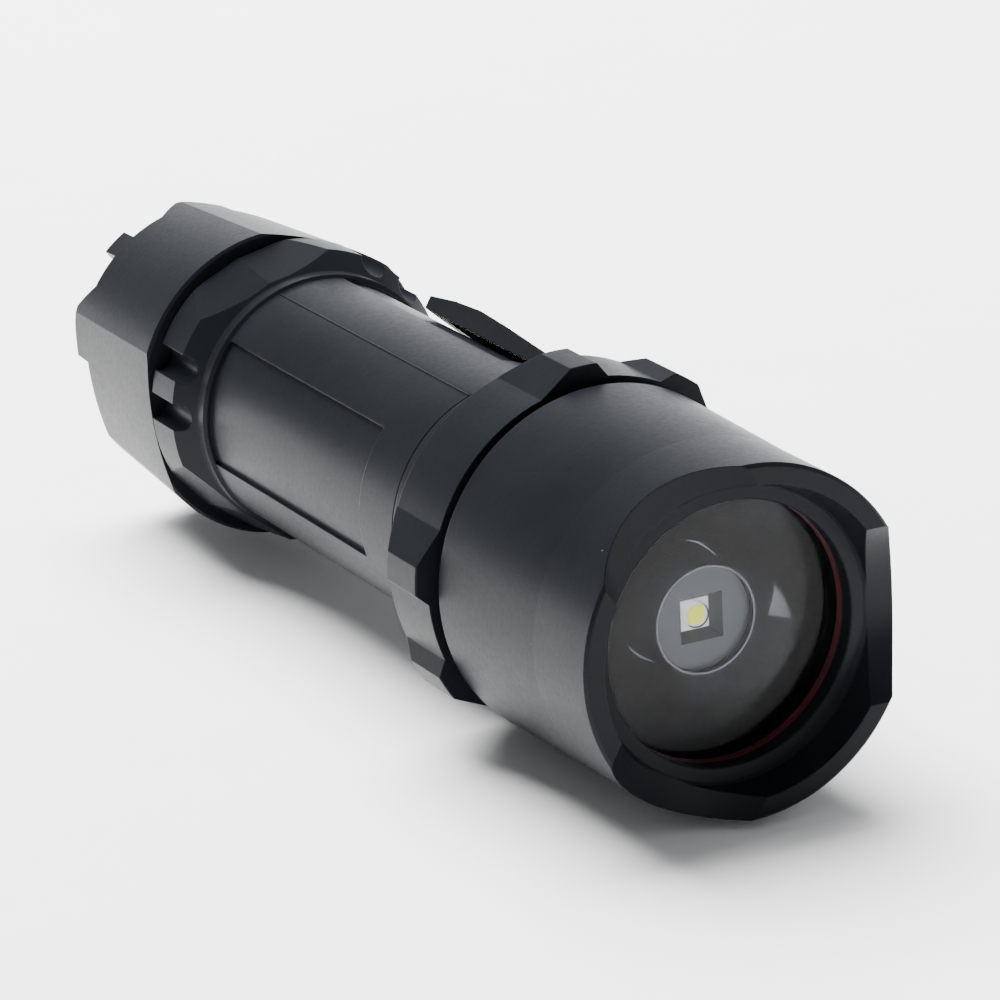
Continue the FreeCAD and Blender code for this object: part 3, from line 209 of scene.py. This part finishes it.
def clear(name, index, tone, haze):
    """Thin clear glass or silicone: see-through, with gloss by angle and a trace of haze."""
    mat = bpy.data.materials.new(name)
    mat.use_nodes = True
    tree = mat.node_tree
    tree.nodes.remove(tree.nodes["Principled BSDF"])
    place = object_place(mat)
    smear = noise(mat, place, 240.0, 5.0, 0.65)
    through = add(mat, "ShaderNodeBsdfTransparent", {"Color": (*tone, 1)})
    gloss = add(mat, "ShaderNodeBsdfGlossy", {"Roughness": spread(mat, smear, 0.004, 0.022)})
    mist = add(mat, "ShaderNodeBsdfDiffuse", {"Color": (0.8, 0.82, 0.85, 1)})
    dusty = add(mat, "ShaderNodeMixShader", {0: spread(mat, smear, haze * 0.4, haze)})
    link(mat, through.outputs[0], dusty.inputs[1])
    link(mat, mist.outputs[0], dusty.inputs[2])
    angle_gloss = add(mat, "ShaderNodeFresnel", {"IOR": index}).outputs[0]
    both = add(mat, "ShaderNodeMixShader", {0: angle_gloss})
    link(mat, dusty.outputs[0], both.inputs[1])
    link(mat, gloss.outputs[0], both.inputs[2])
    link(mat, both.outputs[0], tree.nodes["Material Output"].inputs["Surface"])
    return mat


LOOKS = {
    "polymer": polymer("polymer", (0.0042, 0.0049, 0.0062), (0.0066, 0.0076, 0.0094), 0.36),
    "gasket_rubber": solid("gasket_rubber", (0.045, 0.004, 0.007), 0.45),
    "lens_glass": clear("lens_glass", 1.18, (0.97, 0.975, 0.98), 0.005),
    # painted shade: the mirror metal is made near black, far darker than real aluminium, standing
    # in for the dim room that its bowl reflects
    "reflector_metal": solid("reflector_metal", (0.055, 0.057, 0.064), 0.045, metal=1.0),
    "ring_plastic": solid("ring_plastic", (0.048, 0.053, 0.062), 0.5),
    "led_ceramic": solid("led_ceramic", (0.82, 0.84, 0.83), 0.4, spread_by=0.05),
    # painted glow: the emission makes the phosphor shine, standing in for the light that falls on
    # it; the LED itself is off
    "led_phosphor": solid("led_phosphor", (0.86, 0.87, 0.03), 0.55, spread_by=0.06,
                          Emission_Color=(0.9, 0.9, 0.05, 1), Emission_Strength=0.12),
    "led_silicone": clear("led_silicone", 1.12, (1.0, 1.0, 0.99), 0.004),
    "board_mask": solid("board_mask", (0.020, 0.100, 0.050), 0.32, grain=900.0, spread_by=0.2),
    "bare_aluminium": turned_metal("bare_aluminium", (0.78, 0.79, 0.80), 0.28),
    "wire_insulation": solid("wire_insulation", (0.42, 0.025, 0.025), 0.42),
    "component_black": solid("component_black", (0.03, 0.03, 0.033), 0.5),
    "brass_ring": turned_metal("brass_ring", (0.78, 0.58, 0.27), 0.27),
    "spring_gold": solid("spring_gold", (0.86, 0.68, 0.34), 0.24, 1.0),
    "seal_rubber": solid("seal_rubber", (0.016, 0.016, 0.017), 0.42),
    "cell_steel": turned_metal("cell_steel", (0.62, 0.62, 0.62), 0.26),
    "cell_sleeve": solid("cell_sleeve", (0.04, 0.14, 0.34), 0.26, grain=700.0),
    "button_rubber": solid("button_rubber", (0.012, 0.012, 0.013), 0.6,
                           grain=2600.0, depth=0.00002, IOR=1.22),
    "clip_steel": polymer("clip_steel", (0.005, 0.0055, 0.0065), (0.008, 0.0087, 0.010), 0.34,
                          edge=0.00012),
}
SLOTS = {entry["node"]: entry["material_slot"] for entry in frame["record"]["subparts"]}
for name, node in nodes.items():
    node.data.materials.clear()
    node.data.materials.append(LOOKS[SLOTS[name]])


# ---------------------------------------------------------------- mesh helpers
SHARP_ANGLE = math.radians(32)


def piece(name, verts, faces, slot_name, body, stands_for, smooth=True):
    """A mesh of its own that replaces CAD nodes, moves with a body and takes a slot's finish."""
    mesh = bpy.data.meshes.new(name)
    mesh.from_pydata(verts, [], faces)
    mesh.update()
    if smooth:
        mesh.shade_smooth()
        mesh.set_sharp_from_angle(angle=SHARP_ANGLE)
    mesh.materials.append(LOOKS[slot_name])
    obj = bpy.data.objects.new(name, mesh)
    bpy.context.scene.collection.objects.link(obj)
    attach(obj, body)
    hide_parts(*stands_for)


def lathe(outline, steps=192, closed=True):
    """Verts and faces of an outline of (radius, y) points turned about the Y axis."""
    verts, faces = [], []
    for step in range(steps):
        turn = 2 * math.pi * step / steps
        verts += [(r * math.cos(turn), y, r * math.sin(turn)) for r, y in outline]
    count = len(outline)
    for step in range(steps):
        here, there = step * count, (step + 1) % steps * count
        for number in range(count if closed else count - 1):
            after = (number + 1) % count
            faces.append((here + number, here + after, there + after, there + number))
    return verts, faces


# ---------------------------------------------------------------- reflector
MM = 0.001
BOWL_FOCUS = 6.0 * MM          # focal length of the paraboloid
BOWL_VERTEX = 0.05 * MM        # its vertex behind the rear face of the reflector
BOWL_MOUTH = 14.574 * MM
BOWL_FOOT = 7.25 * MM
MOAT_RISE = 0.85 * MM          # floor of the channel in front of the rear face
MOAT_OUTER = 7.0 * MM
CHIMNEY_FOOT = 6.83 * MM
CHIMNEY_RIM = 6.15 * MM
CHIMNEY_BORE = 5.9 * MM
CHIMNEY_DROP = 0.61 * MM       # rim of the central collar behind the front face
FLANGE = 1.15 * MM
BACK_ROOT = 15.3 * MM
BACK_END = 9.4 * MM
BACK_EDGE = 9.0 * MM           # outer edge of the rear face
BACK_CHAMFER = 1.55 * MM       # length of the slope next to it
BOWL_STEPS = 72
DOME_STEPS = 32
DOME_SIDES = 96
DIE_HALF = 0.98 * MM           # half width of the phosphor
DIE_CLIP = 0.55 * MM           # its clipped corner
DIE_SHIFT = (0.12 * MM, -0.08 * MM)


def reflector():
    """The reflector again, with a bowl that is fine enough for clean reflections."""
    (_, front, _), (outer, back, _) = BOXES["reflector"]
    vertex = back + BOWL_VERTEX
    bowl = []
    for step in range(BOWL_STEPS + 1):
        radius = BOWL_MOUTH + (BOWL_FOOT - BOWL_MOUTH) * step / BOWL_STEPS
        bowl.append((radius, vertex - radius * radius / (4 * BOWL_FOCUS)))
    floor_y = back - MOAT_RISE
    rest = [(MOAT_OUTER, floor_y), (CHIMNEY_FOOT, floor_y), (CHIMNEY_RIM, front + CHIMNEY_DROP),
            (CHIMNEY_BORE, front + CHIMNEY_DROP), (CHIMNEY_BORE, back), (BACK_EDGE, back),
            (BACK_END, back - BACK_CHAMFER), (BACK_ROOT, front + FLANGE),
            (outer, front + FLANGE), (outer, front)]
    verts, faces = lathe(bowl + rest)
    piece("reflector_fine", verts, faces, "reflector_metal", "barrel", ("reflector",))


def dome():
    """The silicone dome again, as a finer hemisphere."""
    (_, front, _), (radius, back, _) = BOXES["led_dome"]
    outline = [(radius * math.cos(a), back - radius * math.sin(a))
               for a in (math.pi / 2 * step / DOME_STEPS for step in range(DOME_STEPS))]
    verts, faces = lathe(outline, DOME_SIDES, closed=False)
    verts.append((0, front, 0))
    tip = len(verts) - 1
    count = len(outline)
    for step in range(DOME_SIDES):
        faces.append((step * count + count - 1, tip, (step + 1) % DOME_SIDES * count + count - 1))
    piece("dome_fine", verts, faces, "led_silicone", "barrel", ("led_dome",))


def die():
    """The phosphor as it looks through the dome, with one corner clipped."""
    (_, front, _), (_, back, _) = BOXES["led_die"]
    outline = [(-DIE_HALF, -DIE_HALF), (DIE_HALF, -DIE_HALF), (DIE_HALF, DIE_HALF),
               (-DIE_HALF + DIE_CLIP, DIE_HALF), (-DIE_HALF, DIE_HALF - DIE_CLIP)]
    count = len(outline)
    verts = [(x + DIE_SHIFT[0], y, z + DIE_SHIFT[1]) for y in (front, back) for x, z in outline]
    faces = [tuple(range(count)), tuple(range(2 * count - 1, count - 1, -1))]
    faces += [(n, n + count, (n + 1) % count + count, (n + 1) % count) for n in range(count)]
    piece("die_seen", verts, faces, "led_phosphor", "barrel", ("led_die",), smooth=False)


reflector()
dome()
die()


# ---------------------------------------------------------------- stage
CAMERA_SPOT = (-0.259167, -0.461792, 0.193534)
CAMERA_TARGET = (-0.012455, 0.0244, 0.009713)
CAMERA_ROLL = math.radians(-2.7144)
FLOOR_GAP = 0.0003      # the floor is this far below the lowest point
FLOOR_HALF = 3.0
ROOM_DIM = 0.36         # radiance of the room in front of the light and to its left
ROOM_BRIGHT = 2.8       # radiance behind it and to its right
ROOM_TURN = (0.5, 0.6, 0.0)
ROOM_EDGE = (0.52, 0.78)        # the room goes from dim to bright between these


def camera():
    """The camera, at the viewing angle of the front view."""
    data = bpy.data.cameras.new("camera")
    data.lens = 189.61
    data.sensor_width = 36.0
    data.clip_start = 0.01
    obj = bpy.data.objects.new("camera", data)
    bpy.context.scene.collection.objects.link(obj)
    look = (Vector(CAMERA_TARGET) - Vector(CAMERA_SPOT)).to_track_quat("-Z", "Y")
    obj.location = CAMERA_SPOT
    obj.rotation_mode = "QUATERNION"
    obj.rotation_quaternion = look @ Quaternion((0, 0, 1), CAMERA_ROLL)
    bpy.context.scene.camera = obj


def area(name, spot, target, width, height, power):
    """A soft box at a spot, turned to its target."""
    data = bpy.data.lights.new(name, "AREA")
    data.shape = "RECTANGLE"
    data.size = width
    data.size_y = height
    data.energy = power
    obj = bpy.data.objects.new(name, data)
    bpy.context.scene.collection.objects.link(obj)
    obj.location = spot
    obj.rotation_mode = "QUATERNION"
    obj.rotation_quaternion = (Vector(target) - Vector(spot)).to_track_quat("-Z", "Y")
    return obj


def floor():
    """A wide white floor just under the lowest point."""
    low = cad_box[0][2] - FLOOR_GAP
    mesh = bpy.data.meshes.new("floor")
    corners = [(-FLOOR_HALF, -FLOOR_HALF, low), (FLOOR_HALF, -FLOOR_HALF, low),
               (FLOOR_HALF, FLOOR_HALF, low), (-FLOOR_HALF, FLOOR_HALF, low)]
    mesh.from_pydata(corners, [], [(0, 1, 2, 3)])
    obj = bpy.data.objects.new("floor", mesh)
    bpy.context.scene.collection.objects.link(obj)
    mesh.materials.append(solid("floor_white", (0.92, 0.92, 0.92), 0.9,
                                grain=60.0, depth=0.0, spread_by=0.01))


def studio():
    """A room that is bright behind the light and to its right, and dim in front of it."""
    world = bpy.data.worlds.new("studio")
    bpy.context.scene.world = world
    world.use_nodes = True
    tree = world.node_tree
    way = tree.nodes.new("ShaderNodeTexCoord").outputs["Generated"]
    along = tree.nodes.new("ShaderNodeVectorMath")
    along.operation = "DOT_PRODUCT"
    tree.links.new(way, along.inputs[0])
    along.inputs[1].default_value = ROOM_TURN
    ramp = tree.nodes.new("ShaderNodeMapRange")
    for key, value in (("From Min", ROOM_EDGE[0]), ("From Max", ROOM_EDGE[1]),
                       ("To Min", ROOM_DIM), ("To Max", ROOM_BRIGHT)):
        ramp.inputs[key].default_value = value
    tree.links.new(along.outputs["Value"], ramp.inputs["Value"])
    background = tree.nodes["Background"]
    background.inputs["Color"].default_value = (0.97, 0.98, 1.0, 1)
    tree.links.new(ramp.outputs["Result"], background.inputs["Strength"])


studio()
camera()
floor()
overhead = area("overhead", (0.0, 0.75, 1.3), (0.0, 0.15, 0.0), 1.4, 1.2, 150.0)
overhead.visible_glossy = False         # it lights the scene but isn't seen as a reflection
